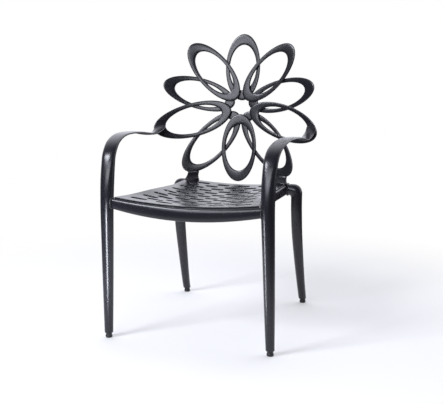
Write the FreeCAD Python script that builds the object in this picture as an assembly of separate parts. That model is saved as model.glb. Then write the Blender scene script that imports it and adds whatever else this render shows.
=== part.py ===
import FreeCAD, Part
import math
import os

from FreeCAD import Placement, Rotation, Vector

os.makedirs("parts", exist_ok=True)

# All lengths in mm. x runs to the sitter's left, the chair faces -y, z is up.

# seat pan, a thin scooped casting
pan_thick = 5.5
pan_half_width = 173.0          # along the rear half of the seat
pan_flare = 46.0                # extra half width at the front corners
pan_flare_from = 60.0           # y where the sides begin to flare
pan_flare_run = 340.0
pan_front_y = -283.0            # front edge at the corners
pan_rear_y = 191.0
pan_corner_radius = 18.0
pan_bow = 11.2                  # how far the front edge's middle stands in front of its corners
pan_dish_power = 1.8
# y, height of the centre line, height of the side edge
pan_levels = [
    (-320.0, 423.5, 433.0),
    (-285.0, 419.6, 433.0),
    (-257.0, 416.0, 432.0),
    (-220.0, 412.5, 430.5),
    (-180.0, 407.0, 430.0),
    (-100.0, 403.0, 429.0),
    (0.0, 401.0, 424.0),
    (60.0, 402.0, 421.0),
    (120.0, 405.0, 421.0),
    (190.0, 410.5, 421.0),
    (225.0, 413.0, 421.0),
]

# slots through the pan, drawn for one seat width and narrowed with the seat towards the rear
slot_length = 51.0
slot_width = 14.0
slot_drawn_half_width = 205.0
slot_row_pitch = 30.8
slot_first_row_y = -242.0
slot_rows = 14
even_row_slots = (0.0, 78.5, 157.0)     # distance of the slots' middles from the centre line
odd_row_slots = (42.0, 124.0)

# front rail
rail_bow = 14.0                 # how far the middle stands in front of the ends
rail_sag = 12.0
rail_half_span = 222.0
rail_end_top = 428.0
rail_end_bottom = 397.0
rail_middle_extra = 8.5         # the rail is this much deeper in the middle
rail_thick = 17.0
rail_face_y = -292.0            # front face at the ends
rail_power = 3.2                # outline power of the rails, flat faces with rounded edges
rail_run_in = 16.0              # the rail is made this much longer each side, then cut to the legs
rail_headroom = 8.0             # and this much higher, then cut to the pan

# side and rear rails
side_rail_thick = 11.0
side_rail_bottom = 385.0
side_rail_overhang = 3.0        # the rail stands this far outside the pan edge
side_rail_front_y = -296.0
side_rail_rear_y = 207.0
rear_rail_thick = 8.0
rear_rail_y = 183.5
rear_rail_bottom = 388.0
rail_edge_round = 2.8

# front leg and arm, one casting: y, z, x, width across, thickness
leg_foot_z = 15.0
front_leg_foot_x = 252.5
front_leg_foot_y = -272.4
arm_line = [
    (-272.6, 12.0, 252.3, 25.2, 25.2),
    (-275.5, 145.0, 249.8, 29.5, 29.5),
    (-278.8, 300.0, 246.9, 34.0, 34.0),
    (-281.0, 400.0, 245.0, 36.5, 36.5),
    (-280.0, 437.0, 244.3, 37.5, 36.0),
    (-276.0, 480.0, 244.3, 39.5, 31.5),
    (-268.0, 523.0, 244.8, 41.0, 25.0),
    (-260.0, 550.0, 245.5, 41.8, 19.0),
    (-247.0, 568.0, 246.3, 42.0, 15.0),
    (-229.0, 582.5, 248.0, 42.0, 12.0),
    (-200.0, 593.5, 250.8, 42.0, 9.5),
    (-160.0, 600.5, 253.8, 42.0, 8.2),
    (-100.0, 601.0, 256.5, 41.5, 7.6),
    (-20.0, 594.0, 258.6, 40.6, 7.6),
]
# rear end of the ribbon, which sweeps up on to the arm ring: as above, and then the
# turn that follows the dish of the back and the outward tilt, both in degrees
arm_end_line = [
    (20.0, 587.5, 257.7, 37.6, 7.6, 0.0, 3.0),
    (60.0, 582.0, 255.6, 33.0, 7.6, 0.0, 4.5),
    (90.0, 580.4, 254.6, 31.0, 7.6, 4.0, 4.5),
    (110.0, 582.2, 254.3, 31.0, 7.6, 11.0, 5.0),
    (124.0, 585.3, 254.9, 32.5, 7.6, 17.0, 5.0),
    (137.0, 589.8, 255.5, 34.2, 7.6, 22.0, 5.0),
    (146.6, 596.0, 255.9, 34.6, 7.2, 25.5, 2.0),
    (153.0, 602.3, 255.6, 34.0, 6.4, 28.0, 0.0),
    (157.5, 608.8, 254.6, 32.0, 5.2, 28.5, 0.0),
    (160.8, 615.6, 253.4, 27.0, 4.0, 27.0, 0.0),
]
leg_step = 80.0                 # longest gap between cross sections
round_power = 2.0               # outline power of a round section
ribbon_power = 2.9              # outline power of the flat ribbon
ribbon_sharpening = 1.5         # how soon the outline turns from round to ribbon as it flattens

# rear leg with its elbow: x, y, z, diameter
rear_leg_line = [
    (211.0, 273.0, 10.0, 25.2),
    (210.5, 264.0, 30.0, 25.6),
    (207.5, 224.0, 163.0, 30.0),
    (206.0, 199.0, 265.0, 34.0),
    (205.5, 190.5, 340.0, 35.6),
]
rear_leg_foot_x = 211.0
rear_leg_foot_y = 272.4
elbow_x = 205.5
elbow_y = 190.0
elbow_top = 420.0
elbow_diameter = 36.0
elbow_inner_radius = 8.0
elbow_swell = 7.5               # extra depth across the elbow's corner
elbow_stub = 10.0               # straight part from the elbow into the side rail

# back made of ten rings in two layers on a dished, reclined surface
back_centre_y = 236.3
back_centre_z = 662.7
back_recline = 7.41             # degrees
back_dish_radius = 575.0
ring_thick = 9.0
ring_edge_round = 2.6
ring_side_width = 12.4
ring_outer_end = 35.4
ring_inner_end = 33.4
# name, layer, across, up, half length, half width, lean of the long axis in degrees
rings = [
    ("top", "rear", 0.0, 131.23, 109.33, 58.82, 0.0),
    ("upper", "front", 94.67, 112.34, 118.46, 55.71, 42.68),
    ("side", "rear", 140.96, 39.71, 120.19, 51.46, 75.81),
    ("arm", "front", 155.05, -48.2, 128.33, 55.71, 108.19),
    ("lower", "rear", 96.6, -119.16, 130.67, 55.85, 139.04),
    ("bottom", "front", 0.0, -135.73, 111.54, 59.31, 180.0),
]

# brackets between pan and lower rings
bracket_x = 154.0
bracket_base_y = 179.0
bracket_base_width = 47.0
bracket_base_depth = 21.0
bracket_neck_width = 32.5
bracket_neck_depth = 12.0
bracket_top_depth = 8.0
bracket_turn = 15.5             # degrees, follows the dish of the back
bracket_flange = 4.0
bracket_neck_rise = 19.0        # height of the neck's narrowest place above the seat's rim
bracket_bite = 7.0              # how far the neck reaches past the ring's lowest point

# screws that hold the brackets from below
screw_diameter = 6.0
screw_clearance = 0.25
screw_length = 13.0
screw_head_diameter = 10.0
screw_head_height = 4.0
screw_spacing = 16.0
screw_x = 150.5                 # middle between the two screws of a bracket
screw_y = 174.5

# glides under the legs
glide_pad_diameter = 21.0
glide_pad_height = 9.0
glide_neck_diameter = 18.0
glide_stem_diameter = 12.0
glide_stem_length = 16.0
glide_stem_clearance = 0.2
glide_edge_round = 3.0

# weld beads
weld_radius = 4.0
front_weld_x = 227.5            # where the rail's end meets the leg
front_weld_y = -293.0
arm_weld_radius = 2.6
arm_weld_reach = 11.5           # half length of the bead across the ribbon's end

big = 400.0


def side_edge(y):
    flare = max(0.0, pan_flare_from - y) / pan_flare_run
    return pan_half_width + pan_flare * flare * flare


def blend(table, at, column):
    for low, high in zip(table, table[1:]):
        if at <= high[0]:
            share = (at - low[0]) / (high[0] - low[0])
            return low[column] + share * (high[column] - low[column])
    return table[-1][column]


def spline(points):
    curve = Part.BSplineCurve()
    curve.interpolate([Vector(*p) for p in points])
    return curve.toShape()


def pan_layer(lift_top, lift_bottom):
    """Solid between two copies of the seat surface, wider than the seat."""
    wires = []
    for y, centre, rim in pan_levels:
        edge = side_edge(max(y, -pan_flare_run + pan_flare_from))
        reach = edge + 30.0

        def height(x):
            return centre + (rim - centre) * (abs(x) / edge) ** pan_dish_power

        xs = [reach * (i / 5.0 - 1.0) for i in range(11)]
        top = [(x, y, height(x) + lift_top) for x in xs]
        bottom = [(x, y, height(x) + lift_bottom) for x in xs]
        sides = [Part.makeLine(Vector(*top[-1]), Vector(*bottom[-1])),
                 Part.makeLine(Vector(*bottom[0]), Vector(*top[0]))]
        wires.append(Part.Wire([spline(top), sides[0], spline(bottom[::-1]), sides[1]]))
    return Part.makeLoft(wires, True, False)


def front_edge(x, at_end, bow):
    return at_end - bow * (1.0 - (x / rail_half_span) ** 2)


def pan_outline():
    """Plan of the pan as an upright prism."""
    reach = side_edge(pan_front_y)
    ys = [pan_front_y + (pan_rear_y - pan_front_y) * i / 7.0 for i in range(8)]
    right = [(side_edge(y), y, 0.0) for y in ys]
    left = [(-x, y, z) for x, y, z in right]
    xs = [reach * (i / 3.0 - 1.0) for i in range(7)]
    front = [(x, front_edge(x, pan_front_y, pan_bow), 0.0) for x in xs]
    front[0] = left[0]
    front[-1] = right[0]
    rear = Part.makeLine(Vector(*right[-1]), Vector(*left[-1]))
    wire = Part.Wire([spline(front), spline(right), rear, spline(left[::-1])])
    prism = Part.Face(wire).extrude(Vector(0, 0, 2 * big))
    corners = [e for e in prism.Edges
               if abs(e.BoundBox.ZLength - 2 * big) < 0.1 and e.BoundBox.YMin > pan_rear_y - 1]
    return prism.makeFillet(pan_corner_radius, corners)


def slot_cutters():
    """Rows of upright slot cutters; every second row is set off by half a pitch."""
    cutters = []
    for row in range(slot_rows):
        y = slot_first_row_y + row * slot_row_pitch
        scale = side_edge(y) / slot_drawn_half_width
        half = slot_length * scale / 2
        for out in even_row_slots if row % 2 == 0 else odd_row_slots:
            for middle in {out * scale, -out * scale}:
                cutters.append(slot_prism(middle - half, middle + half, y))
    return cutters


def slot_prism(low, high, y):
    r = slot_width / 2
    bar = Part.makeBox(high - low - 2 * r, 2 * r, big, Vector(low + r, y - r, big / 2))
    ends = [Part.makeCylinder(r, big, Vector(x, y, big / 2)) for x in (low + r, high - r)]
    return bar.fuse(ends).removeSplitter()


def seat_pan(legs, screw_holes):
    pan = pan_layer(0.0, -pan_thick).common(pan_outline())
    return pan.cut(slot_cutters() + legs + screw_holes)


def section(centre, across, along, width, thick, power):
    """Closed outline of a casting's cross section, round or flat."""
    across = Vector(across).normalize()
    normal = Vector(along).cross(across).normalize()
    points = []
    for i in range(16):
        a = 2 * math.pi * i / 16
        c = math.copysign(abs(math.cos(a)) ** (2 / power), math.cos(a))
        s = math.copysign(abs(math.sin(a)) ** (2 / power), math.sin(a))
        points.append(centre + across * (c * width / 2) + normal * (s * thick / 2))
    curve = Part.BSplineCurve()
    curve.interpolate(Points=points, PeriodicFlag=True)
    return Part.Wire([curve.toShape()])


def smooth(rows, step):
    """More rows between the given ones, on a smooth line through all of them."""
    out = []
    for i in range(len(rows) - 1):
        a = rows[max(i - 1, 0)]
        b = rows[i]
        c = rows[i + 1]
        d = rows[min(i + 2, len(rows) - 1)]
        gap = math.dist(b[:3], c[:3])
        before = max(math.dist(a[:3], b[:3]), 1e-6)
        after = max(math.dist(c[:3], d[:3]), 1e-6)
        count = max(1, round(gap / step))
        for k in range(count):
            t = k / count
            row = []
            for j in range(len(b)):
                chord = (c[j] - b[j]) / gap
                first = ((b[j] - a[j]) / before + chord) / 2 if i > 0 else chord
                last = (chord + (d[j] - c[j]) / after) / 2 if i < len(rows) - 2 else chord
                h1 = 2 * t ** 3 - 3 * t ** 2 + 1
                h2 = t ** 3 - 2 * t ** 2 + t
                h3 = t ** 3 - t ** 2
                row.append(h1 * b[j] + h2 * gap * first + (1 - h1) * c[j] + h3 * gap * last)
            out.append(tuple(row))
    out.append(rows[-1])
    return out


def tangents(points):
    """Direction of the smooth line at each point; the nearer neighbour counts more."""
    out = []
    for i in range(len(points)):
        before = points[i] - points[max(i - 1, 0)]
        after = points[min(i + 1, len(points) - 1)] - points[i]
        if before.Length < 1e-6:
            flow = after
        elif after.Length < 1e-6:
            flow = before
        else:
            flow = before * (after.Length / before.Length) + after * (before.Length / after.Length)
        out.append(flow.normalize())
    return out


def back_place():
    turn = Rotation(Vector(1, 0, 0), -back_recline)
    return Placement(Vector(0, back_centre_y, back_centre_z), turn)


def ring_face_point(across, z):
    """Point on the front layer's front face, with the directions across and up it."""
    r = back_dish_radius - ring_thick
    deep = math.sqrt(r * r - across * across) - back_dish_radius
    lean = math.radians(back_recline)
    up = (z - back_centre_z + deep * math.sin(lean)) / math.cos(lean)
    place = back_place()
    point = place.multVec(Vector(across, deep, up))
    turn = math.asin(across / r)
    side = place.Rotation.multVec(Vector(math.cos(turn), -math.sin(turn), 0))
    rise = place.Rotation.multVec(Vector(0, 0, 1))
    return point, side, rise


def front_leg():
    """Left or right casting: leg, ribbon arm and its upswept end. This one is at +x."""
    table = [(x, y, z, w, t, 0.0, 0.0) for y, z, x, w, t in arm_line]
    table += [(x, y, z, w, t, turn, tilt) for y, z, x, w, t, turn, tilt in arm_end_line]
    rows = smooth(table, leg_step)
    points = [Vector(r[0], r[1], r[2]) for r in rows]
    wires = []
    for point, along, row in zip(points, tangents(points), rows):
        width, thick, turn, tilt = row[3], row[4], math.radians(row[5]), math.radians(row[6])
        flat = min(1.0, max(0.0, ribbon_sharpening * (1.0 - thick / width)))
        power = round_power + flat * (ribbon_power - round_power)
        across = Vector(math.cos(turn), -math.sin(turn), -math.tan(tilt))
        across = across - along * across.dot(along)
        wires.append(section(point, across, along, width, thick, power))
    casting = Part.makeLoft(wires, True, False).cut(below_legs())
    return casting.cut(glide_bore(front_leg_foot_x, front_leg_foot_y))


def glide_bore(x, y):
    return Part.makeCylinder(glide_stem_diameter / 2 + glide_stem_clearance, glide_stem_length + 2,
                             Vector(x, y, leg_foot_z))


def below_legs():
    return Part.makeBox(2 * big, 3 * big, big, Vector(-big, -1.5 * big, leg_foot_z - big))


def rear_leg():
    """Round leg with an elbow that turns in to the side rail. This one is at +x."""
    rows = smooth(rear_leg_line, leg_step)
    points = [Vector(r[0], r[1], r[2]) for r in rows]
    sizes = [r[3] for r in rows]
    reach = elbow_inner_radius + elbow_diameter / 2
    pivot = Vector(elbow_x - reach, elbow_y, elbow_top - elbow_diameter / 2 - reach)
    for turn in (0, 18, 36, 54, 72, 90):
        a = math.radians(turn)
        swell = elbow_swell * math.sin(2 * a) ** 2
        radius = reach + swell / 2
        points.append(pivot + Vector(radius * math.cos(a), 0, radius * math.sin(a)))
        sizes.append(elbow_diameter + swell)
    points.append(pivot + Vector(-elbow_stub, 0, reach))
    sizes.append(elbow_diameter)
    flow = tangents(points)
    for i in range(6):
        a = math.radians(18 * i)
        flow[i - 7] = Vector(-math.sin(a), 0, math.cos(a))
    wires = []
    for point, along, size in zip(points, flow, sizes):
        width = min(size, elbow_diameter)
        wires.append(section(point, Vector(0, 1, 0), along, width, size, round_power))
    leg = Part.makeLoft(wires, True, False).cut(below_legs())
    return leg.cut(glide_bore(rear_leg_foot_x, rear_leg_foot_y))


def ring_outline(half_length, half_width, shift):
    """Ellipse in the local back plane with its long axis along local z."""
    ellipse = Part.Ellipse(Vector(0, 0, 0), half_length, half_width).toShape()
    wire = Part.Wire([ellipse])
    wire.rotate(Vector(0, 0, 0), Vector(1, 0, 0), 90)
    wire.rotate(Vector(0, 0, 0), Vector(0, 1, 0), -90)
    wire.translate(Vector(0, 0, shift))
    return wire


def ring_prism(ring, hollow):
    name, layer, across, up, half_length, half_width, lean = ring
    prism = slab(ring_outline(half_length, half_width, 0.0))
    if hollow:
        inner_length = half_length - (ring_outer_end + ring_inner_end) / 2
        shift = (ring_inner_end - ring_outer_end) / 2
        prism = prism.cut(slab(ring_outline(inner_length, half_width - ring_side_width, shift)))
    prism.rotate(Vector(0, 0, 0), Vector(0, 1, 0), lean)
    prism.translate(Vector(across, 0, up))
    return prism


def slab(wire):
    face = Part.Face(wire)
    face.translate(Vector(0, -big / 2, 0))
    return face.extrude(Vector(0, big, 0))


def layer_shell(layer):
    inner = back_dish_radius - ring_thick if layer == "front" else back_dish_radius
    foot = Vector(0, -back_dish_radius, -big)
    shell = Part.makeCylinder(inner + ring_thick, 2 * big, foot)
    return shell.cut(Part.makeCylinder(inner, 2 * big, foot))


def raw_ring(ring):
    """One complete ring with rounded edges, before it is trimmed at the hub."""
    solid = ring_prism(ring, True).common(layer_shell(ring[1]))
    rims = [e for e in solid.Edges if e.Length > 3 * ring_thick]
    return solid.makeFillet(ring_edge_round, rims)


def back_rings():
    """All ten rings; neighbours of one layer are trimmed where they would meet."""
    half = Part.makeBox(big, 2 * big, 2 * big, Vector(-big, -big, -big))
    prisms = {r[0]: ring_prism(r, False) for r in rings}
    pairs = {"top": [], "upper": [], "side": ["top"], "arm": ["upper"], "lower": ["side"], "bottom": ["arm"]}
    made = {}
    for ring in rings:
        name = ring[0]
        solid = raw_ring(ring)
        for other in pairs[name]:
            solid = solid.cut(prisms[other])
            if name == "bottom":
                solid = solid.cut(prisms[other].mirror(Vector(0, 0, 0), Vector(1, 0, 0)))
        if ring[2] > 0:
            if name in ("upper", "lower"):
                solid = solid.cut(half)
            made["ring_" + name + "_left"] = solid
            made["ring_" + name + "_right"] = solid.mirror(Vector(0, 0, 0), Vector(1, 0, 0))
        else:
            made["ring_" + name] = solid
    for solid in made.values():
        solid.Placement = back_place().multiply(solid.Placement)
    return made


def front_rail(pan_above, legs):
    """Deep bar with a rounded face under the pan's front edge."""
    wires = []
    for i in range(9):
        x = (rail_half_span + rail_run_in) * (i / 4.0 - 1.0)
        share = 1.0 - (x / rail_half_span) ** 2
        top = rail_end_top - rail_sag * share + rail_headroom
        bottom = rail_end_bottom - (rail_sag + rail_middle_extra) * share
        face = rail_face_y - rail_bow * share
        centre = Vector(x, face + rail_thick / 2, (top + bottom) / 2)
        wires.append(section(centre, Vector(0, 0, 1), Vector(1, 0, 0), top - bottom, rail_thick, rail_power))
    rail = Part.makeLoft(wires, True, False)
    return rail.cut([pan_above] + legs)


def side_rail(pan_above, legs, front):
    """Bar under the pan's side edge, at +x, flared with it to the front leg."""
    wires = []
    for i in range(9):
        y = side_rail_front_y + (side_rail_rear_y - side_rail_front_y) * i / 8.0
        x = side_edge(min(y, pan_rear_y)) + side_rail_overhang - side_rail_thick / 2
        top = blend(pan_levels, y, 2) + rail_headroom / 2
        centre = Vector(x, y, (top + side_rail_bottom) / 2)
        slope = side_edge(y + 1) - side_edge(y - 1)
        wires.append(section(centre, Vector(0, 0, 1), Vector(slope, 2, 0), top - side_rail_bottom,
                             side_rail_thick, rail_power))
    rail = Part.makeLoft(wires, True, False)
    return rail.cut([pan_above, front] + legs)


def rear_rail(pan_above, sides):
    length = 2 * side_edge(rear_rail_y)
    bar = Part.makeBox(length, rear_rail_thick, 40.0, Vector(-length / 2, rear_rail_y, rear_rail_bottom))
    low = [e for e in bar.Edges if e.BoundBox.XLength > 50 and e.BoundBox.ZMax < rear_rail_bottom + 1]
    return bar.makeFillet(rail_edge_round, low).cut([pan_above] + sides)


def bracket(pan_below, ring):
    """Flared foot on the pan's rear corner with a saddle for the lower ring. At +x."""
    turn = math.radians(bracket_turn)
    side = Vector(math.cos(turn), -math.sin(turn), 0)
    ring_low = ring.BoundBox.ZMin
    base_z = blend(pan_levels, bracket_base_y, 2)
    top_y = ring_edge_y(ring, bracket_x, ring_low + bracket_bite / 2)
    neck_z = base_z + bracket_neck_rise
    flange_z = base_z + bracket_flange
    foot = (bracket_base_width, bracket_base_depth)
    neck = (bracket_neck_width, bracket_neck_depth)
    rows = [(base_z - 12.0, bracket_base_y) + foot, (flange_z - 1.5, bracket_base_y) + foot,
            (flange_z, bracket_base_y, foot[0] - 2.0, foot[1] - 2.0)]
    for share in (0.15, 0.45, 0.75, 1.0):
        left = (1.0 - share) ** 2
        width = neck[0] + (foot[0] - 5.0 - neck[0]) * left
        depth = neck[1] + (foot[1] - 5.0 - neck[1]) * left
        y = bracket_base_y + (top_y - 1.5 - bracket_base_y) * share
        rows.append((flange_z + (neck_z - flange_z) * share, y, width, depth))
    rows.append((ring_low + bracket_bite, top_y, neck[0] + 1.0, bracket_top_depth))
    wires = []
    for z, y, width, depth in rows:
        wires.append(section(Vector(bracket_x, y, z), side, Vector(0, 0, 1), width, depth, 3.6))
    solid = Part.makeLoft(wires, True, False)
    return solid.cut([pan_below, ring])


def ring_edge_y(ring, x, z):
    """Middle depth of a ring where an upright line at x meets height z."""
    probe = Part.makeBox(2.0, big, 2.0, Vector(x - 1.0, back_centre_y - big / 2, z - 1.0))
    box = ring.common(probe).BoundBox
    return (box.YMin + box.YMax) / 2


def screw_spots():
    turn = math.radians(bracket_turn)
    spots = []
    for side in (1, -1):
        for step in (-0.5, 0.5):
            x = screw_x + step * screw_spacing * math.cos(turn)
            y = screw_y - step * screw_spacing * math.sin(turn)
            spots.append((side * x, y))
    return spots


def screw_seat(x, y):
    """Height of the pan's underside at a screw."""
    edge = side_edge(y)
    centre = blend(pan_levels, y, 1)
    rim = blend(pan_levels, y, 2)
    return centre + (rim - centre) * (abs(x) / edge) ** pan_dish_power - pan_thick


def shank(x, y, fat):
    seat = screw_seat(x, y)
    return Part.makeCylinder(screw_diameter / 2 + fat, screw_length + 2.0, Vector(x, y, seat - 2.0))


def bracket_screws(pan):
    """Four screws driven up through the pan into the brackets."""
    made = []
    for x, y in screw_spots():
        low = screw_seat(x, y) - screw_head_height
        head = Part.makeCylinder(screw_head_diameter / 2, screw_head_height + 2.0, Vector(x, y, low))
        made.append(head.fuse(shank(x, y, 0.0)).removeSplitter().cut(pan))
    return Part.makeCompound(made)


def glide(x, y):
    """Plastic foot: rounded pad, neck and a stem pushed into the leg."""
    pad = Part.makeCylinder(glide_pad_diameter / 2, glide_pad_height, Vector(x, y, 0))
    rims = [e for e in pad.Edges if e.Curve.TypeId == "Part::GeomCircle"]
    pad = pad.makeFillet(glide_edge_round, rims)
    neck = Part.makeCylinder(glide_neck_diameter / 2, leg_foot_z - glide_pad_height + 2,
                             Vector(x, y, glide_pad_height - 2))
    stem = Part.makeCylinder(glide_stem_diameter / 2, glide_stem_length, Vector(x, y, leg_foot_z - 1))
    return pad.fuse([neck, stem]).removeSplitter()


def mirrored(shape):
    return shape.mirror(Vector(0, 0, 0), Vector(1, 0, 0))


def bead(points, radius):
    """Round weld bead along a smooth line through a few points."""
    path = [Vector(*p) for p in points]
    flow = tangents(path)
    wires = [section(p, Vector(1, 0.37, 0.21), f, 2 * radius, 2 * radius, round_power) for p, f in zip(path, flow)]
    return Part.makeLoft(wires, True, False)


def trimmed(solid, around):
    """The solid without what its neighbours fill, one neighbour after the other."""
    for other in around:
        solid = solid.cut(other)
    return solid


def front_weld(around):
    """Bead round the front rail's end where it meets the leg. At +x."""
    x = front_weld_x
    y = front_weld_y
    top = rail_end_top + 1.0
    low = rail_end_bottom + 1.0
    line = [(x, y + 20.0, top), (x - 1.0, y + 12.0, top + 1.5), (x + 1.0, y + 4.0, top + 0.5),
            (x + 2.0, y, top - 6.0), (x + 2.0, y, (top + low) / 2), (x + 2.0, y, low + 6.0),
            (x + 1.0, y + 4.0, low - 0.5), (x - 1.0, y + 12.0, low - 1.5), (x, y + 20.0, low)]
    return trimmed(bead(line, weld_radius), around)


def arm_weld(around):
    """Bead across the ribbon's upper end on the arm ring. At +x."""
    y, z, x, width, thick, turn, tilt = arm_end_line[-1]
    middle, side, rise = ring_face_point(x, z + arm_weld_radius)
    start = middle - side * arm_weld_reach
    return trimmed(Part.makeCylinder(arm_weld_radius, 2 * arm_weld_reach, start, side), around)


def rear_weld(around):
    """Bead round the elbow's end on the side rail. At +x."""
    middle = Vector(pan_half_width + side_rail_overhang + 0.5, elbow_y, elbow_top - elbow_diameter / 2)
    ring = Part.makeTorus(elbow_diameter / 2, weld_radius * 0.75, middle, Vector(-1, 0, 0))
    return trimmed(ring, around)


parts = back_rings()

leg_left = front_leg().cut(parts["ring_arm_left"])
leg_right = mirrored(leg_left)
front_legs = [leg_left, leg_right]

above = pan_layer(60.0, -pan_thick)
below = pan_layer(0.0, -60.0)

holes = [shank(x, y, screw_clearance) for x, y in screw_spots()]
threads = [shank(x, y, 0.0) for x, y in screw_spots()]
parts["seat_pan"] = seat_pan(front_legs, holes)
parts["front_rail"] = front_rail(above, front_legs)
side_left = side_rail(above, front_legs, parts["front_rail"])
side_right = mirrored(side_left)
parts["rear_rail"] = rear_rail(above, [side_left, side_right])
parts["side_rail_left"] = side_left
parts["side_rail_right"] = side_right
parts["front_leg_arm_left"] = leg_left
parts["front_leg_arm_right"] = leg_right

rear_left = rear_leg().cut([side_left, parts["seat_pan"]])
parts["rear_leg_left"] = rear_left
parts["rear_leg_right"] = mirrored(rear_left)

bracket_left = bracket(below, parts["ring_lower_left"]).cut(threads)
parts["back_bracket_left"] = bracket_left
parts["back_bracket_right"] = mirrored(bracket_left)
parts["bracket_screws"] = bracket_screws(parts["seat_pan"])

welds = {
    "weld_front_left": front_weld([leg_left, parts["front_rail"], side_left, parts["seat_pan"]]),
    "weld_arm_left": arm_weld([leg_left, parts["ring_arm_left"]]),
    "weld_rear_left": rear_weld([rear_left, side_left, parts["seat_pan"]]),
}
for name, shape in welds.items():
    parts[name] = shape
    parts[name.replace("left", "right")] = mirrored(shape)

for end, x, y in (("front", front_leg_foot_x, front_leg_foot_y), ("rear", rear_leg_foot_x, rear_leg_foot_y)):
    foot = glide(x, y)
    parts["glide_" + end + "_left"] = foot
    parts["glide_" + end + "_right"] = mirrored(foot)

front = min(p.y for p in parts["front_rail"].tessellate(0.5)[0])
rear = max(p.y for p in rear_left.tessellate(0.5)[0])
shift = -(front + rear) / 2
for name, shape in parts.items():
    shape.translate(Vector(0, shift, 0))
    shape.exportStep("parts/" + name + ".step")
    box = shape.optimalBoundingBox(False, False)
    print(f"{name:24s} solids {len(shape.Solids)} valid {shape.isValid()} volume {shape.Volume / 1000:9.1f} cm3 "
          f"x {box.XMin:7.1f} {box.XMax:7.1f} y {box.YMin:7.1f} {box.YMax:7.1f} z {box.ZMin:7.1f} {box.ZMax:7.1f}")
print("moved along y by", round(shift, 3))
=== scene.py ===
import math

import bmesh
import bpy
from mathutils import Matrix, Vector


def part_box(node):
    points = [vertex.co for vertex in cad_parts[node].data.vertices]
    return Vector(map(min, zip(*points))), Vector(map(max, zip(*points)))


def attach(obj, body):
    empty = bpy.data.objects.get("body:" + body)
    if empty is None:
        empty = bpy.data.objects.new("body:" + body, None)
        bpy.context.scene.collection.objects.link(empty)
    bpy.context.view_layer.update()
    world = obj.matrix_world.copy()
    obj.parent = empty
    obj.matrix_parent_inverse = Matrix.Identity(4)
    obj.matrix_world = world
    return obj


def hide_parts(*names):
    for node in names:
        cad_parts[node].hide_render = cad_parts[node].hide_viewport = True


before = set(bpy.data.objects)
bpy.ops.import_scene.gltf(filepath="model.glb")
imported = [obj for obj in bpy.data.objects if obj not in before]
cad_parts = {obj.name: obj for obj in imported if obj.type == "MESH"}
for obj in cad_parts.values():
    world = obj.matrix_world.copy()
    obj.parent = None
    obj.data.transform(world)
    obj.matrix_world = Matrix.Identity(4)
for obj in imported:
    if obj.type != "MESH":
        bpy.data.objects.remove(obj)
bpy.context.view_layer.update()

# Back rings. Ten long ellipse rings of cast aluminium with a satin powder coat.
# They lie in two layers on a dished, reclined surface, every second one in front,
# and are welded where they cross. The hub is left open as a star.
mm = 0.001
# the drawing's distance from the middle to the feet, which shows how far the frame was slid along y
foot_y = 272.4
foot_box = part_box("glide_front_left")
slide = (foot_box[0].y + foot_box[1].y) / 2 + foot_y * mm
recline = math.radians(7.41)
dish_radius = 575.0
ring_thick = 9.0
ring_side = 12.4
ring_outer_end = 35.4
ring_inner_end = 33.4
ring_edge_power = 4.2
ring_sides = 28
ring_steps = 112
back_middle = Vector((0.0, 236.3, 662.7))


def linear(code):
    channels = [int(code[i:i + 2], 16) / 255 for i in (1, 3, 5)]
    return tuple(c / 12.92 if c <= 0.04045 else ((c + 0.055) / 1.055) ** 2.4 for c in channels) + (1.0,)


def add_node(tree, kind, links=(), **settings):
    """Adds one node, sets its properties or input values, and joins (input, output socket) pairs."""
    node = tree.nodes.new(kind)
    for name, value in settings.items():
        if hasattr(node, name):
            setattr(node, name, value)
        else:
            node.inputs[name.replace("_", " ")].default_value = value
    for name, source in links:
        tree.links.new(source, node.inputs[name])
    return node


def new_material(name):
    material = bpy.data.materials.new(name)
    material.use_nodes = True
    material.node_tree.nodes.clear()
    return material, material.node_tree


def grains(size):
    """Noise scale whose grains are about this many millimetres wide."""
    return 1.0 / (size * mm)


def powder_coat():
    """Charcoal powder coat on cast metal. To the eye it is satin, with a fine orange peel of
    1.6 mm and the soft unevenness of a sand casting, about 10 mm wide."""
    material, tree = new_material("satin_charcoal_powder_coat_on_cast_aluminium")
    place = add_node(tree, "ShaderNodeTexCoord")
    cloud = add_node(tree, "ShaderNodeTexNoise", [("Vector", place.outputs["Object"])], Scale=grains(111.0),
                     Detail=3.0)
    tint = add_node(tree, "ShaderNodeMix", [("Factor", cloud.outputs["Fac"])], data_type="RGBA")
    tint.inputs["A"].default_value = linear("#1a1a20")
    tint.inputs["B"].default_value = linear("#212128")
    peel = add_node(tree, "ShaderNodeTexNoise", [("Vector", place.outputs["Object"])], Scale=grains(1.6),
                    Detail=2.0)
    cast = add_node(tree, "ShaderNodeTexNoise", [("Vector", place.outputs["Object"])], Scale=grains(10.5),
                    Detail=3.0)
    low = add_node(tree, "ShaderNodeBump", [("Height", cast.outputs["Fac"])], Strength=0.035,
                   Distance=0.8 * mm)
    high = add_node(tree, "ShaderNodeBump",
                    [("Height", peel.outputs["Fac"]), ("Normal", low.outputs["Normal"])],
                    Strength=0.05, Distance=0.1 * mm)
    gloss = add_node(tree, "ShaderNodeMapRange", [("Value", cast.outputs["Fac"])], To_Min=0.22, To_Max=0.30)
    skin = add_node(tree, "ShaderNodeBsdfPrincipled",
                    [("Base Color", tint.outputs["Result"]), ("Roughness", gloss.outputs["Result"]),
                     ("Normal", high.outputs["Normal"])], IOR=1.5)
    add_node(tree, "ShaderNodeOutputMaterial", [("Surface", skin.outputs["BSDF"])])
    return material


coat = powder_coat()


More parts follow.
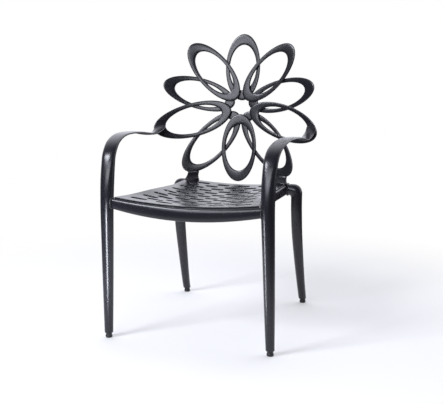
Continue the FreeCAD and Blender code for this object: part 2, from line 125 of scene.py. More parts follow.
def keep(bm, name, nodes, material, smooth_angle=50.0):
    """Turns a finished bmesh, drawn in millimetres, into a piece that stands for its CAD nodes."""
    bmesh.ops.scale(bm, vec=(mm, mm, mm), verts=bm.verts)
    bmesh.ops.translate(bm, vec=(0.0, slide, 0.0), verts=bm.verts)
    bmesh.ops.recalc_face_normals(bm, faces=bm.faces)
    for face in bm.faces:
        face.smooth = True
    for edge in bm.edges:
        if len(edge.link_faces) == 2 and edge.calc_face_angle() > math.radians(smooth_angle):
            edge.smooth = False
    mesh = bpy.data.meshes.new(name)
    bm.to_mesh(mesh)
    bm.free()
    piece = bpy.data.objects.new(name, mesh)
    bpy.context.scene.collection.objects.link(piece)
    mesh.materials.append(material)
    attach(piece, "root")
    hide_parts(*nodes)
    return piece


def power_point(turn, power):
    """Point on a unit outline between a circle, power 2, and a square with round corners."""
    c, s = math.cos(turn), math.sin(turn)
    return (math.copysign(abs(c) ** (2 / power), c), math.copysign(abs(s) ** (2 / power), s))


def torus(middle_radius, section_radius, sides, steps):
    """A ring about the y axis, from one circle spun right round."""
    bm = bmesh.new()
    made = bmesh.ops.create_circle(bm, segments=sides, radius=section_radius)
    bmesh.ops.translate(bm, vec=(middle_radius, 0.0, 0.0), verts=made["verts"])
    bmesh.ops.spin(bm, geom=bm.verts[:] + bm.edges[:], cent=(0, 0, 0), axis=(0, 1, 0), dvec=(0, 0, 0),
                   angle=2 * math.pi, steps=steps, use_merge=True)
    return bm


def back_ring(name, layer, across, up, half_length, half_width, lean):
    """A torus drawn out to the ellipse, then laid on the dished back."""
    pattern_radius = 3.0
    bm = torus(pattern_radius, 1.0, ring_sides, ring_steps)
    middle = -ring_thick / 2 if layer == "front" else ring_thick / 2
    inner_length = half_length - (ring_outer_end + ring_inner_end) / 2
    inner_shift = (ring_inner_end - ring_outer_end) / 2
    turn = math.radians(lean)
    for v in bm.verts:
        around = math.atan2(v.co.x, v.co.z)
        section = math.atan2(v.co.y, math.hypot(v.co.x, v.co.z) - pattern_radius)
        a, b = power_point(section, ring_edge_power)
        outer = Vector((half_width * math.sin(around), half_length * math.cos(around)))
        inner = Vector(((half_width - ring_side) * math.sin(around),
                        inner_length * math.cos(around) + inner_shift))
        flat = inner.lerp(outer, (a + 1) / 2)
        u = across + flat.x * math.cos(turn) + flat.y * math.sin(turn)
        w = up - flat.x * math.sin(turn) + flat.y * math.cos(turn)
        deep = dish_radius + middle + b * ring_thick / 2
        v.co = Vector((u, math.sqrt(deep * deep - u * u) - dish_radius, w))
    bmesh.ops.rotate(bm, cent=(0, 0, 0), matrix=Matrix.Rotation(-recline, 3, "X"), verts=bm.verts)
    bmesh.ops.translate(bm, vec=back_middle, verts=bm.verts)
    keep(bm, "back_" + name, [name], coat)


# name, layer, middle across and up the back, half length, half width, lean in degrees
back_ring("ring_top", "rear", 0.0, 131.23, 109.33, 58.82, 0.0)
back_ring("ring_bottom", "front", 0.0, -135.73, 111.54, 59.31, 180.0)
for side, sign in (("left", 1), ("right", -1)):
    back_ring("ring_upper_" + side, "front", sign * 94.67, 112.34, 118.46, 55.71, sign * 42.68)
    back_ring("ring_side_" + side, "rear", sign * 140.96, 39.71, 120.19, 51.46, sign * 75.81)
    back_ring("ring_arm_" + side, "front", sign * 155.05, -48.2, 128.33, 55.71, sign * 108.19)
    back_ring("ring_lower_" + side, "rear", sign * 96.6, -119.16, 130.67, 55.85, sign * 139.04)

# Seat pan. One thin scooped casting of coated aluminium, pierced in a brick pattern of
# short slots with round ends. Its edges are rounded over, its front lip rests on the
# front rail, and the welds at its corners hold it to the rails.
pan_thick = 5.5
# y, height along the middle line, height at the side edges
pan_levels = [(-320.0, 423.5, 433.0), (-285.0, 419.6, 433.0), (-257.0, 416.0, 432.0), (-220.0, 412.5, 430.5),
              (-180.0, 407.0, 430.0), (-100.0, 403.0, 429.0), (0.0, 401.0, 424.0), (60.0, 402.0, 421.0),
              (120.0, 405.0, 421.0), (190.0, 410.5, 421.0), (225.0, 413.0, 421.0)]
dish_power = 1.8
pan_front = -283.0
pan_rear = 191.0
rear_half_width = 173.0
flare_from = 60.0
flare_length = 340.0
flare_out = 46.0
corner_radius = 18.0
corner_from = 150.0
front_bow = 11.2
bow_from = -250.0
bow_half_width = 222.0
front_half_width = 219.0
rim_round = 0.9
# an edge that runs along a rim or a slot rises less than this, and one through the thickness more
rim_rise = 3.0

slot_half = 25.5
slot_radius = 9.6
# column of the drawing grid, then the slot's real distance from the middle
slot_columns = {0.0: 0.0, 40.0: 42.0, 80.0: 78.5, 120.0: 124.0, 160.0: 157.0}
row_pitch = 30.8
first_row = -242.0
row_count = 14

# the flat grid that the pan is drawn on: close lines along its rims, even columns between
rim_columns = [190.0, 197.0, 202.0, 205.0]
column_pitch = 10
last_column = 180
front_lines = [pan_front, -280.0, -274.0, -265.0]
rear_lines = [179.0, 184.0, 188.0, pan_rear]
slot_cells = 3 * column_pitch
slack = 1.0
# how far out, as a share of the end's radius, an end's corner points lie on the round
corner_share = 0.72
end_bulge = 0.3
end_tuck = 0.5


def pan_half_width(y):
    flare = max(0.0, flare_from - y) / flare_length
    return rear_half_width + flare_out * flare * flare


def smooth_rows(rows, step):
    """More rows between the given ones, on a smooth line through all of them."""
    out = []
    for i in range(len(rows) - 1):
        a, b, c, d = rows[max(i - 1, 0)], rows[i], rows[i + 1], rows[min(i + 2, len(rows) - 1)]
        gap = math.dist(b[:3], c[:3])
        before = max(math.dist(a[:3], b[:3]), 1e-6)
        after = max(math.dist(c[:3], d[:3]), 1e-6)
        count = max(1, round(gap / step))
        for k in range(count):
            t = k / count
            row = []
            for j in range(len(b)):
                chord = (c[j] - b[j]) / gap
                first = ((b[j] - a[j]) / before + chord) / 2 if i > 0 else chord
                last = (chord + (d[j] - c[j]) / after) / 2 if i < len(rows) - 2 else chord
                h1 = 2 * t ** 3 - 3 * t ** 2 + 1
                h2 = t ** 3 - 2 * t ** 2 + t
                h3 = t ** 3 - t ** 2
                row.append(h1 * b[j] + h2 * gap * first + (1 - h1) * c[j] + h3 * gap * last)
            out.append(tuple(row))
    out.append(rows[-1])
    return out


fine_levels = smooth_rows(pan_levels, 4.0)


def pan_height(x, y):
    for low, high in zip(fine_levels, fine_levels[1:]):
        if y <= high[0]:
            break
    t = min(1.0, max(0.0, (y - low[0]) / (high[0] - low[0])))
    centre = low[1] + t * (high[1] - low[1])
    rim = low[2] + t * (high[2] - low[2])
    return centre + (rim - centre) * (abs(x) / pan_half_width(y)) ** dish_power


def slot_places():
    """Middles of all slots on the drawing grid. Odd rows are shifted by half a column pair."""
    places = []
    for row in range(row_count):
        for column in slot_columns:
            if column % 80.0 == (0.0 if row % 2 == 0 else 40.0):
                places += [(x, first_row + row * row_pitch) for x in {column, -column}]
    return places


def round_slot_ends(bm, places):
    """Draws each square hole in to its real length and gives it round ends."""
    straight = slot_half - slot_radius
    for v in bm.verts:
        for x, y in places:
            dx, dy = v.co.x - x, v.co.y - y
            if abs(dx) < slot_cells + slack and abs(dy) < slot_radius + 0.1 * slack:
                if abs(dx) > slot_cells - slack and abs(dy) > slack:
                    dx = math.copysign(straight + slot_radius * corner_share, dx)
                    dy = math.copysign(slot_radius * corner_share, dy)
                elif abs(dx) > slot_cells - slack:
                    dx = math.copysign(slot_half + end_bulge, dx)
                elif abs(dx) > 2 * column_pitch - slack:
                    dx = math.copysign(straight - end_tuck, dx)
                v.co.x = math.copysign(slot_columns[abs(x)], x) + dx
                v.co.y = y + dy
                break


def shape_pan(bm):
    """Pulls the flat grid to the pan's outline, with a bowed front and round rear corners, and dishes it."""
    for v in bm.verts:
        share = v.co.x / rim_columns[-1]
        y = v.co.y
        if y < bow_from:
            bow = front_bow * (1 - (share * front_half_width / bow_half_width) ** 2)
            y -= bow * min(1.0, (bow_from - y) / (bow_from - pan_front))
        x = share * pan_half_width(y)
        corner = abs(x) - (rear_half_width - corner_radius)
        if y > corner_from and corner > 0:
            drop = corner_radius - math.sqrt(max(0.0, corner_radius ** 2 - min(corner, corner_radius) ** 2))
            y -= drop * (y - corner_from) / (pan_rear - corner_from)
        v.co = (x, y, pan_height(x, y))


def seat_pan():
    """A grid with the slots' faces taken out, pulled to the pan's shape, then given its thickness."""
    columns = [-x for x in reversed(rim_columns)]
    columns += list(range(-last_column, last_column + 1, column_pitch)) + rim_columns
    lines = list(front_lines)
    for row in range(row_count):
        middle = first_row + row * row_pitch
        lines += [middle - row_pitch / 2, middle - slot_radius, middle, middle + slot_radius]
    lines += [middle + row_pitch / 2] + rear_lines
    bm = bmesh.new()
    bmesh.ops.create_grid(bm, x_segments=len(columns) - 1, y_segments=len(lines) - 1, size=1.0)
    for v in bm.verts:
        i = round((v.co.x + 1) / 2 * (len(columns) - 1))
        j = round((v.co.y + 1) / 2 * (len(lines) - 1))
        v.co = (columns[i], lines[j], 0.0)
    places = slot_places()
    gone = []
    for face in bm.faces:
        c = face.calc_center_median()
        if any(abs(c.x - x) < slot_cells and abs(c.y - y) < slot_radius for x, y in places):
            gone.append(face)
    bmesh.ops.delete(bm, geom=gone, context="FACES")
    round_slot_ends(bm, places)
    shape_pan(bm)
    made = bmesh.ops.extrude_face_region(bm, geom=bm.faces[:])
    lower = [g for g in made["geom"] if isinstance(g, bmesh.types.BMVert)]
    bmesh.ops.translate(bm, vec=(0, 0, -pan_thick), verts=lower)
    bmesh.ops.recalc_face_normals(bm, faces=bm.faces)
    rims = [e for e in bm.edges if len(e.link_faces) == 2 and e.calc_face_angle() > math.radians(50)]
    rims = [e for e in rims if abs(e.verts[0].co.z - e.verts[1].co.z) < rim_rise]
    bmesh.ops.bevel(bm, geom=rims, offset=rim_round, segments=2, profile=0.5, affect="EDGES", material=-1)
    piece = keep(bm, "pierced_seat_pan", ["seat_pan"], coat, 80.0)
    soften = piece.modifiers.new("soften", "SUBSURF")
    soften.levels = soften.render_levels = 1
    even = piece.modifiers.new("even_shading", "WEIGHTED_NORMAL")
    even.keep_sharp = True


seat_pan()

# Legs and arms. Each side is one coated aluminium casting: a round leg that widens upward,
# turns over into a flat ribbon for the forearm and ends in an upturned tongue that is
# welded to the arm ring.
# y, z, x, width, thickness
arm_rows = [(-272.6, 12.0, 252.3, 25.6, 25.6), (-275.5, 145.0, 249.8, 31.3, 31.0),
            (-278.8, 300.0, 246.9, 36.0, 35.6), (-281.0, 400.0, 245.0, 38.6, 38.0),
            (-280.0, 437.0, 244.3, 39.5, 37.4), (-276.0, 480.0, 244.3, 40.8, 32.5),
            (-268.0, 523.0, 244.8, 41.0, 25.0), (-260.0, 550.0, 245.5, 41.8, 19.0),
            (-247.0, 568.0, 246.3, 42.0, 15.0), (-229.0, 582.5, 248.0, 42.0, 12.0),
            (-200.0, 593.5, 250.8, 42.0, 9.5), (-160.0, 600.5, 253.8, 42.0, 8.2),
            (-100.0, 601.0, 256.5, 41.5, 7.6), (-20.0, 594.0, 258.6, 40.6, 7.6)]
# the same, then the turn towards the back's dish and the outward tilt in degrees
arm_end_rows = [(20.0, 587.5, 257.7, 37.6, 7.6, 0.0, 3.0), (60.0, 582.0, 255.6, 33.0, 7.6, 0.0, 4.5),
                (90.0, 580.4, 254.6, 31.0, 7.6, 4.0, 4.5), (110.0, 582.2, 254.3, 31.0, 7.6, 11.0, 5.0),
                (124.0, 585.3, 254.9, 32.5, 7.6, 17.0, 5.0), (137.0, 589.8, 255.5, 34.2, 7.6, 22.0, 5.0),
                (146.6, 596.0, 255.9, 34.6, 7.2, 25.5, 2.0), (153.0, 602.3, 255.6, 34.0, 6.4, 28.0, 0.0),
                (157.5, 608.8, 254.6, 32.0, 5.2, 28.5, 0.0), (160.8, 615.6, 253.4, 27.0, 4.0, 27.0, 0.0)]
leg_foot = 15.0
round_power = 2.0
ribbon_gain = 0.9


def bar(stations, sides=32):
    """A bar drawn out by extruding one outline from station to station, with both ends closed.
    A station is (middle, across, along, width, thickness, outline power)."""
    bm = bmesh.new()
    bmesh.ops.create_circle(bm, segments=sides, radius=1.0)
    angle = bm.verts.layers.float.new("angle")
    for v in bm.verts:
        v[angle] = math.atan2(v.co.y, v.co.x)
    ring, edges = bm.verts[:], bm.edges[:]
    for i, (middle, across, along, width, thick, power) in enumerate(stations):
        if i > 0:
            made = bmesh.ops.extrude_edge_only(bm, edges=edges)["geom"]
            ring = [g for g in made if isinstance(g, bmesh.types.BMVert)]
            edges = [g for g in made if isinstance(g, bmesh.types.BMEdge) and len(g.link_faces) == 1]
        side = (across - along * across.dot(along) / along.length_squared).normalized()
        normal = along.cross(side).normalized()
        for v in ring:
            a, b = power_point(v[angle], power)
            v.co = middle + side * (a * width / 2) + normal * (b * thick / 2)
    close_ends(bm)
    return bm


def close_ends(bm):
    bmesh.ops.holes_fill(bm, edges=[e for e in bm.edges if len(e.link_faces) == 1], sides=0)


def cut_foot(bm):
    """Cuts a leg level above the floor, where the glide's collar begins."""
    bmesh.ops.bisect_plane(bm, geom=bm.verts[:] + bm.edges[:] + bm.faces[:], plane_co=(0, 0, leg_foot),
                           plane_no=(0, 0, -1), clear_outer=True)
    close_ends(bm)


def round_ends(bm, size):
    ends = [e for e in bm.edges if len(e.link_faces) == 2 and e.calc_face_angle() > math.radians(60)]
    bmesh.ops.bevel(bm, geom=ends, offset=size, segments=3, profile=0.5, affect="EDGES", material=-1)


def tangents(points):
    last = len(points) - 1
    return [(points[min(i + 1, last)] - points[max(i - 1, 0)]).normalized() for i in range(last + 1)]


def keep_pair(bm, name, node, material=coat, smooth_angle=50.0):
    """Keeps the left piece and its mirror image."""
    other = bm.copy()
    bmesh.ops.scale(other, vec=(-1, 1, 1), verts=other.verts)
    bmesh.ops.reverse_faces(other, faces=other.faces)
    keep(bm, name + "_left", [node + "_left"], material, smooth_angle)
    keep(other, name + "_right", [node + "_right"], material, smooth_angle)


def leg_and_arm():
    rows = [(x, y, z, w, t, 0.0, 0.0) for y, z, x, w, t in arm_rows]
    rows += [(x, y, z, w, t, turn, tilt) for y, z, x, w, t, turn, tilt in arm_end_rows]
    rows = smooth_rows(rows, 9.0)
    points = [Vector(r[:3]) for r in rows]
    stations = []
    for point, along, row in zip(points, tangents(points), rows):
        flat = min(1.0, max(0.0, 1.5 * (1.0 - row[4] / row[3])))
        turn, tilt = math.radians(row[5]), math.radians(row[6])
        across = Vector((math.cos(turn), -math.sin(turn), -math.tan(tilt)))
        stations.append((point, across, along, row[3], row[4], round_power + ribbon_gain * flat))
    bm = bar(stations)
    cut_foot(bm)
    round_ends(bm, 1.6)
    return bm


keep_pair(leg_and_arm(), "leg_and_arm", "front_leg_arm")

# Rear legs. Round coated aluminium castings, splayed to the rear and slimmer at the foot.
# Each one's elbow turns in under the pan and is welded to the side rail.
# x, y, z, width
rear_rows = [(211.0, 272.0, 10.0, 25.2), (210.5, 264.0, 30.0, 25.6), (207.5, 224.0, 163.0, 31.4),
             (206.0, 199.0, 265.0, 35.0), (205.5, 190.5, 340.0, 36.0)]
elbow_x = 205.5
elbow_y = 190.0
elbow_top = 420.0
elbow_size = 36.0
elbow_inner_radius = 8.0
elbow_swell = 7.5
elbow_stub = 10.0


def rear_leg():
    rows = smooth_rows(rear_rows, 12.0)
    points = [Vector(r[:3]) for r in rows]
    sizes = [r[3] for r in rows]
    flow = tangents(points)
    reach = elbow_inner_radius + elbow_size / 2
    pivot = Vector((elbow_x - reach, elbow_y, elbow_top - elbow_size / 2 - reach))
    for turn in range(0, 91, 6):
        a = math.radians(turn)
        swell = elbow_swell * math.sin(2 * a) ** 2
        points.append(pivot + Vector((math.cos(a), 0, math.sin(a))) * (reach + swell / 2))
        sizes.append(elbow_size + swell)
        flow.append(Vector((-math.sin(a), 0, math.cos(a))))
    points.append(pivot + Vector((-elbow_stub, 0, reach)))
    sizes.append(elbow_size)
    flow.append(Vector((-1, 0, 0)))
    bm = bar([(p, Vector((0, 1, 0)), f, min(s, elbow_size), s, round_power)
              for p, f, s in zip(points, flow, sizes)])
    cut_foot(bm)
    round_ends(bm, 1.2)
    return bm


keep_pair(rear_leg(), "rear_leg_casting", "rear_leg")

# Front rail. A deep coated aluminium bar with a rounded face, which sags and bows forward
# in the middle. It carries the pan's front lip and is welded to both front legs.
rail_reach = 230.0
rail_face = -292.0
rail_bow = 14.0
rail_thick = 17.0
rail_end_bottom = 397.0
rail_sag = 20.5
rail_into_pan = 0.8
rail_power = 2.5
rail_steps = 46


def front_rail():
    stations = []
    for i in range(rail_steps + 1):
        x = rail_reach * (2 * i / rail_steps - 1.0)
        share = 1.0 - (x / bow_half_width) ** 2
        top = pan_height(x, rail_face) - pan_thick + rail_into_pan
        bottom = rail_end_bottom - rail_sag * share
        middle = Vector((x, rail_face - rail_bow * share + rail_thick / 2, (top + bottom) / 2))
        stations.append((middle, Vector((0, 0, 1)), Vector((1, 0, 0)), top - bottom, rail_thick, rail_power))
    return bar(stations)


keep(front_rail(), "front_rail_bar", ["front_rail"], coat, 60.0)

# Side rails. Coated aluminium bars under the pan's side edges that flare with it to the
# front legs. They are welded to the legs and to the rear legs' elbows, and are cut
# shallower at the front so as not to show below the front rail.
side_front = -284.0
side_length = 491.0
side_thick = 11.0
side_overhang = 3.0
side_bottom = 385.0
side_into_pan = 1.5
side_lift = 15.0
lift_from = -215.0
lift_length = 50.0
side_power = 3.4
side_steps = 40


def side_rail():
    stations = []
    for i in range(side_steps + 1):
        y = side_front + side_length * i / side_steps
        x = pan_half_width(min(y, pan_rear)) + side_overhang - side_thick / 2
        top = pan_height(pan_half_width(y), y) - pan_thick + side_into_pan
        slope = pan_half_width(y + 1) - pan_half_width(y - 1)
        bottom = side_bottom + side_lift * max(0.0, min(1.0, (lift_from - y) / lift_length))
        stations.append((Vector((x, y, (top + bottom) / 2)), Vector((0, 0, 1)), Vector((slope, 2, 0)),
                         top - bottom, side_thick, side_power))
    bm = bar(stations, 28)
    round_ends(bm, 1.0)
    return bm


keep_pair(side_rail(), "side_rail_bar", "side_rail", smooth_angle=60.0)

# Rear rail. A flat coated aluminium bar under the pan's rear edge. It is cut to fit
# between the side rails and meets their inner faces.
rear_reach = 171.0
rear_y = 187.5
rear_thick = 8.0
rear_bottom = 388.0
rear_into_pan = 1.0
rear_power = 5.0
rear_steps = 32


def rear_rail():
    stations = []
    for i in range(rear_steps + 1):
        x = rear_reach * (2 * i / rear_steps - 1.0)
        top = pan_height(x, rear_y) - pan_thick + rear_into_pan
        stations.append((Vector((x, rear_y, (top + rear_bottom) / 2)), Vector((0, 0, 1)), Vector((1, 0, 0)),
                         top - rear_bottom, rear_thick, rear_power))
    return bar(stations, 24)


keep(rear_rail(), "rear_rail_bar", ["rear_rail"], coat, 60.0)

# Brackets. Coated cast aluminium feet on the pan's rear corners, broad below and hollowed
# to a slim neck that is saddled and welded to the lower ring. Two screws hold each
# from below.
bracket_x = 154.0
bracket_y = 179.0
bracket_turn = math.radians(15.5)
bracket_seat = 421.0
bracket_root = 12.0
flange = 4.0
# drop below the flange's top, and how much smaller the foot is there
flange_rounding = [(3.0, 0.0), (1.6, 0.0), (0.5, 0.8), (0.0, 2.4)]
neck_rise = 19.0
neck_steps = 14
neck_lead = 1.5
foot_size = (47.0, 21.0)
foot_inset = 2.6
foot_sunk = 2.5
neck_size = (37.0, 9.4)
saddle_size = (37.6, 8.6)
bite_size = (38.0, 7.2)
bracket_bite = 7.0
bracket_power = 3.6


def back_bracket():
    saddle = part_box("ring_lower_left")[0].z / mm
    middle = dish_radius + ring_thick / 2
    deep = math.sqrt(middle ** 2 - bracket_x ** 2) - dish_radius
    up = (saddle + bracket_bite / 2 - back_middle.z + deep * math.sin(recline)) / math.cos(recline)
    ring_y = back_middle.y + deep * math.cos(recline) + up * math.sin(recline)
    low = bracket_seat + flange
    rows = [(bracket_seat - bracket_root, bracket_y) + foot_size]
    rows += [(low - drop, bracket_y, foot_size[0] - less, foot_size[1] - less)
             for drop, less in flange_rounding]
    for i in range(1, neck_steps + 1):
        share = i / neck_steps
        left = (1.0 - share) ** 2
        width, depth = [neck + (foot - foot_inset - neck) * left for neck, foot in zip(neck_size, foot_size)]
        y = bracket_y + (ring_y - neck_lead - bracket_y) * share
        rows.append((low + (neck_rise - flange) * share, y, width, depth))
    rows += [(saddle, ring_y) + saddle_size, (saddle + bracket_bite, ring_y) + bite_size]
    side = Vector((math.cos(bracket_turn), -math.sin(bracket_turn), 0))
    bm = bar([(Vector((bracket_x, y, z)), side, Vector((0, 0, 1)), w, d, bracket_power)
              for z, y, w, d in rows], 48)
    for v in bm.verts:
        if v.co.z < bracket_seat - bracket_root + slack:
            v.co.z = pan_height(v.co.x, v.co.y) - foot_sunk
    return bm


keep_pair(back_bracket(), "back_bracket_casting", "back_bracket")

# Welds. Aluminium beads laid by hand round the front rail's ends, the elbows' ends and the
# arms' upper ends, then brushed and coated over with the rest, so the ripples are soft.
bead_step = 0.8
bead_pitch = 3.4
bead_ripple = 0.06
front_weld_radius = 3.2
front_weld_path = [(227.5, -272.0, 428.0), (226.5, -281.0, 429.0), (228.0, -289.0, 427.5),
                   (228.8, -293.0, 421.5), (229.0, -293.5, 412.5), (228.8, -293.0, 405.0),
                   (228.0, -289.5, 400.5), (227.5, -284.0, 399.0)]
arm_weld_radius = 2.6
arm_weld_pitch = 2.8
arm_weld_x = 253.4
arm_weld_z = 618.2
arm_weld_steps = (-11.5, -4.0, 4.0, 11.5)
elbow_weld_radius = 3.0
elbow_weld_x = 176.0
elbow_ripple = 0.07
elbow_ripples = 33


def bead(points, radius, pitch):
    """A bead along the points, with tapered ends and one ripple for every step of the hand."""
    line = [Vector(row) for row in smooth_rows([tuple(p) for p in points], bead_step)]
    stations = []
    for i, (point, along) in enumerate(zip(line, tangents(line))):
        near_end = min(i, len(line) - 1 - i) * bead_step / radius
        taper = math.sqrt(1 - (1 - min(1.0, near_end + 0.05)) ** 2)
        size = 2 * radius * taper * (1 + bead_ripple * math.sin(2 * math.pi * i * bead_step / pitch))
        stations.append((point, Vector((1, 0.37, 0.21)), along, size, size, round_power))
    return bar(stations, 16)


keep_pair(bead(front_weld_path, front_weld_radius, bead_pitch), "weld_front_rail", "weld_front")


def arm_weld():
    """A bead across the tongue's upper end, on the front face of the arm ring."""
    reach = dish_radius - ring_thick
    deep = math.sqrt(reach ** 2 - arm_weld_x ** 2) - dish_radius
    up = (arm_weld_z - back_middle.z + deep * math.sin(recline)) / math.cos(recline)
    lean_back = Matrix.Rotation(-recline, 3, "X")
    middle = lean_back @ Vector((arm_weld_x, deep, up)) + back_middle
    side = lean_back @ Vector((math.cos(math.asin(arm_weld_x / reach)), -arm_weld_x / reach, 0))
    return bead([middle + side * step for step in arm_weld_steps], arm_weld_radius, arm_weld_pitch)


keep_pair(arm_weld(), "weld_arm_end", "weld_arm")


def elbow_weld():
    """A bead right round the elbow's end."""
    bm = torus(elbow_size / 2, elbow_weld_radius, 16, 120)
    for v in bm.verts:
        around = math.atan2(v.co.x, v.co.z)
        out = Vector((v.co.x, 0, v.co.z)).normalized() * (elbow_size / 2)
        v.co = out + (v.co - out) * (1 + elbow_ripple * math.sin(elbow_ripples * around))
    bmesh.ops.rotate(bm, cent=(0, 0, 0), matrix=Matrix.Rotation(math.radians(90), 3, "Z"), verts=bm.verts)
    bmesh.ops.translate(bm, vec=(elbow_weld_x, elbow_y, elbow_top - elbow_size / 2), verts=bm.verts)
    return bm


keep_pair(elbow_weld(), "weld_elbow", "weld_rear")

# Bracket screws. Four blackened steel button heads with a hexagon socket, forged and
# thread rolled, driven up through the pan into the brackets, two to each.
screw_spread = 8.0
screw_x = 150.5
screw_y = 174.5
socket_half = 2.0
# radius, height above the pan's underside: socket floor, socket wall, domed head, shank
screw_outline = [(0.0, -1.6), (socket_half, -1.7), (2.05, -4.0), (2.3, -4.0), (3.6, -3.6), (4.6, -2.6),
                 (5.0, -1.2), (5.0, 0.0), (3.0, 0.0), (3.0, 11.5), (0.0, 12.0)]


def screw_steel():
    """Steel with a black oxide finish. To the eye it is dull metal, where the finish has let a
    little of the steel through in specks. The specks of 1.4 mm are coarser than real ones, to show."""
    material, tree = new_material("blackened_steel_screw")
    place = add_node(tree, "ShaderNodeTexCoord")
    worn = add_node(tree, "ShaderNodeTexNoise", [("Vector", place.outputs["Object"])], Scale=grains(1.4),
                    Detail=2.0)
    shade = add_node(tree, "ShaderNodeMix", [("Factor", worn.outputs["Fac"])], data_type="RGBA")
    shade.inputs["A"].default_value = linear("#3b3b3d")
    shade.inputs["B"].default_value = linear("#636366")
    rub = add_node(tree, "ShaderNodeMapRange", [("Value", worn.outputs["Fac"])], To_Min=0.30, To_Max=0.48)
    body = add_node(tree, "ShaderNodeBsdfPrincipled",
                    [("Base Color", shade.outputs["Result"]), ("Roughness", rub.outputs["Result"])],
                    Metallic=1.0)
    add_node(tree, "ShaderNodeOutputMaterial", [("Surface", body.outputs["BSDF"])])
    return material


def turned(profile, steps=48):
    """A turned shape from its half outline of (radius, height) points."""
    bm = bmesh.new()
    verts = [bm.verts.new((r, 0.0, z)) for r, z in profile]
    edges = [bm.edges.new(pair) for pair in zip(verts, verts[1:])]
    bmesh.ops.spin(bm, geom=verts + edges, cent=(0, 0, 0), axis=(0, 0, 1), dvec=(0, 0, 0), angle=2 * math.pi,
                   steps=steps, use_merge=True)
    bmesh.ops.remove_doubles(bm, verts=bm.verts, dist=0.001)
    return bm


def one_screw():
    """A turned screw whose round socket is pressed to a hexagon."""
    bm = turned(screw_outline)
    for v in bm.verts:
        if abs(math.hypot(v.co.x, v.co.y) - socket_half - 0.05) < 0.15:
            turn = math.atan2(v.co.y, v.co.x) % math.radians(60) - math.radians(30)
            v.co.x *= 0.93 / math.cos(turn)
            v.co.y *= 0.93 / math.cos(turn)
    return bm


def bracket_screws():
    screws = bmesh.new()
    for side in (1, -1):
        for step in (-screw_spread, screw_spread):
            x = screw_x + step * math.cos(bracket_turn)
            y = screw_y - step * math.sin(bracket_turn)
            one = one_screw()
            bmesh.ops.translate(one, vec=(side * x, y, pan_height(x, y) - pan_thick), verts=one.verts)
            scrap = bpy.data.meshes.new("screw")
            one.to_mesh(scrap)
            one.free()
            screws.from_mesh(scrap)
            bpy.data.meshes.remove(scrap)
    return screws


keep(bracket_screws(), "bracket_screw_set", ["bracket_screws"], screw_steel(), 35.0)

# Glides. Injection moulded feet of black nylon, with a rounded pad, a collar against the
# leg's end and a short neck that is pushed into the leg.
glide_outline = [(0.0, 0.0), (7.2, 0.0), (8.8, 0.35), (9.9, 1.3), (10.4, 2.7), (10.5, 4.4), (10.4, 6.4),
                 (9.9, 7.9), (9.2, 8.8), (8.9, 9.6), (8.9, leg_foot), (5.9, leg_foot + 0.2), (5.9, 29.0),
                 (0.0, 29.5)]
front_foot_x = 252.5
rear_foot_x = 211.0


def nylon():
    """Moulded nylon. To the eye it is dull black with a fine grain of about 1 mm, gone slightly
    grey in patches of some 8 mm where it has slid on paving."""
    material, tree = new_material("moulded_black_nylon")
    place = add_node(tree, "ShaderNodeTexCoord")
    scuff = add_node(tree, "ShaderNodeTexNoise", [("Vector", place.outputs["Object"])], Scale=grains(8.3),
                     Detail=3.0)
    shade = add_node(tree, "ShaderNodeMix", [("Factor", scuff.outputs["Fac"])], data_type="RGBA")
    shade.inputs["A"].default_value = linear("#17171a")
    shade.inputs["B"].default_value = linear("#232326")
    grain = add_node(tree, "ShaderNodeTexNoise", [("Vector", place.outputs["Object"])], Scale=grains(1.1))
    skin = add_node(tree, "ShaderNodeBump", [("Height", grain.outputs["Fac"])], Strength=0.2,
                    Distance=0.2 * mm)
    body = add_node(tree, "ShaderNodeBsdfPrincipled",
                    [("Base Color", shade.outputs["Result"]), ("Normal", skin.outputs["Normal"])],
                    Roughness=0.5, IOR=1.53)
    add_node(tree, "ShaderNodeOutputMaterial", [("Surface", body.outputs["BSDF"])])
    return material


black_nylon = nylon()
for end, x, y in (("front", front_foot_x, -foot_y), ("rear", rear_foot_x, foot_y)):
    bm = turned(glide_outline)
    bmesh.ops.translate(bm, vec=(x, y, 0.0), verts=bm.verts)
    keep_pair(bm, "glide_foot_" + end, "glide_" + end, black_nylon, 40.0)

# Studio floor. White paper that keeps the chair's shadow near the feet. Farther out the
# camera sees plain white, while the chair's own reflections see a dim floor.
floor_half = 12.0
paper_near = 0.55
paper_far = 1.5


def join(tree, kind, *sources, **settings):
    """Joins sockets to the inputs of a mixing or adding node in their order."""
    node = add_node(tree, kind, **settings)
    for i, source in enumerate(sources):
        tree.links.new(source, node.inputs[i])
    return node.outputs[0]


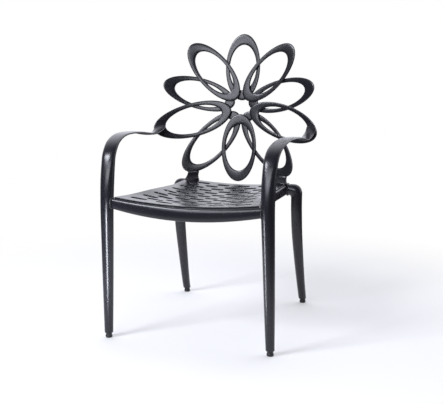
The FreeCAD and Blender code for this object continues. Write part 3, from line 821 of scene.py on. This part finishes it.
def studio_paper():
    material, tree = new_material("white_studio_paper")
    place = add_node(tree, "ShaderNodeTexCoord")
    length = add_node(tree, "ShaderNodeVectorMath", [("Vector", place.outputs["Object"])], operation="LENGTH")
    far = add_node(tree, "ShaderNodeMapRange", [("Value", length.outputs["Value"])],
                   interpolation_type="SMOOTHSTEP", From_Min=paper_near, From_Max=paper_far)
    matt = add_node(tree, "ShaderNodeBsdfDiffuse", Color=linear("#dcdcdc"))
    dim = add_node(tree, "ShaderNodeBsdfDiffuse", Color=linear("#484848"))
    glow = add_node(tree, "ShaderNodeEmission", Strength=0.2)
    dark = add_node(tree, "ShaderNodeEmission", Strength=0.0)
    white = add_node(tree, "ShaderNodeEmission", Strength=1.0)
    ray = add_node(tree, "ShaderNodeLightPath").outputs
    seen = join(tree, "ShaderNodeMath", ray["Is Camera Ray"], ray["Is Glossy Ray"], operation="MAXIMUM")
    lift = join(tree, "ShaderNodeMixShader", seen, dark.outputs[0], glow.outputs[0])
    near_paper = join(tree, "ShaderNodeAddShader", matt.outputs[0], lift)
    far_paper = join(tree, "ShaderNodeMixShader", ray["Is Camera Ray"], dim.outputs[0], white.outputs[0])
    paper = join(tree, "ShaderNodeMixShader", far.outputs["Result"], near_paper, far_paper)
    add_node(tree, "ShaderNodeOutputMaterial", [("Surface", paper)])
    return material


floor_mesh = bpy.data.meshes.new("studio_floor")
bm = bmesh.new()
bmesh.ops.create_grid(bm, x_segments=1, y_segments=1, size=floor_half)
bm.to_mesh(floor_mesh)
bm.free()
floor = bpy.data.objects.new("studio_floor", floor_mesh)
bpy.context.scene.collection.objects.link(floor)
floor_mesh.materials.append(studio_paper())

# Studio room. Plain white behind the chair for the camera. What the chair reflects is a
# bright, slightly cool backdrop behind it that fades to a dark room in front.
world = bpy.data.worlds.new("studio_surround")
bpy.context.scene.world = world
world.use_nodes = True
tree = world.node_tree
tree.nodes.clear()
bright = add_node(tree, "ShaderNodeBackground", Color=(1, 1, 1, 1), Strength=1.0)
direction = add_node(tree, "ShaderNodeTexCoord")
axes = add_node(tree, "ShaderNodeSeparateXYZ", [("Vector", direction.outputs["Generated"])])
behind = add_node(tree, "ShaderNodeMapRange", [("Value", axes.outputs["Y"])], interpolation_type="SMOOTHSTEP",
                  From_Min=-0.25, From_Max=0.5, To_Min=0.07, To_Max=1.75)
room = add_node(tree, "ShaderNodeBackground", [("Strength", behind.outputs["Result"])],
                Color=(0.91, 0.92, 1.0, 1))
ray = add_node(tree, "ShaderNodeLightPath").outputs
seen = join(tree, "ShaderNodeMath", ray["Is Camera Ray"], ray["Is Transmission Ray"], operation="MAXIMUM")
pick = join(tree, "ShaderNodeMixShader", seen, room.outputs[0], bright.outputs[0])
add_node(tree, "ShaderNodeOutputWorld", [("Surface", pick)])

# Lamps. A key softbox high on the left, a dim panel in front for the petals, and two
# narrow strips low in front of the legs, which draw the bright lines down them.
lamp_tint = (0.89, 0.91, 1.0)
strip_spread = 50.0


def lamp(name, power, width, height, place, aim, spread=180.0):
    data = bpy.data.lights.new(name, "AREA")
    data.shape = "RECTANGLE"
    data.energy = power
    data.color = lamp_tint
    data.size = width
    data.size_y = height
    data.spread = math.radians(spread)
    light = bpy.data.objects.new(name, data)
    light.location = place
    light.rotation_euler = (Vector(aim) - Vector(place)).to_track_quat("-Z", "Y").to_euler()
    light.visible_camera = False
    bpy.context.scene.collection.objects.link(light)


lamp("key_softbox", 72.0, 0.9, 0.9, (-1.5, -2.2, 2.35), (0, 0, 0.5))
lamp("front_panel", 30.0, 1.6, 0.8, (-0.3, -2.65, 1.36), (0, 0.2, 0.75))
lamp("left_leg_strip", 0.32, 0.09, 0.30, (-0.185, -0.62, 0.17), (-0.25, -0.28, 0.24), strip_spread)
lamp("right_leg_strip", 0.11, 0.06, 0.30, (-0.02, -0.48, 0.17), (0.25, -0.28, 0.24), strip_spread)

# Camera. At the photograph's angle: 19 degrees to the side and 10 degrees above.
# Its distance and lens were solved from the outlines of the rings, the feet and the seat.
camera_side = math.radians(19.065)
camera_above = math.radians(10.292)
frame_width = 443
focal_pixels = 899.118
camera_data = bpy.data.cameras.new("camera")
camera_data.sensor_width = 36.0
camera_data.lens = focal_pixels / frame_width * camera_data.sensor_width
camera = bpy.data.objects.new("camera", camera_data)
camera.location = (0.916568, -2.616339 + slide, 0.885475)
camera.rotation_euler = (math.radians(90) - camera_above, 0, camera_side)
bpy.context.scene.collection.objects.link(camera)
bpy.context.scene.camera = camera
bpy.context.scene.view_settings.view_transform = "Standard"
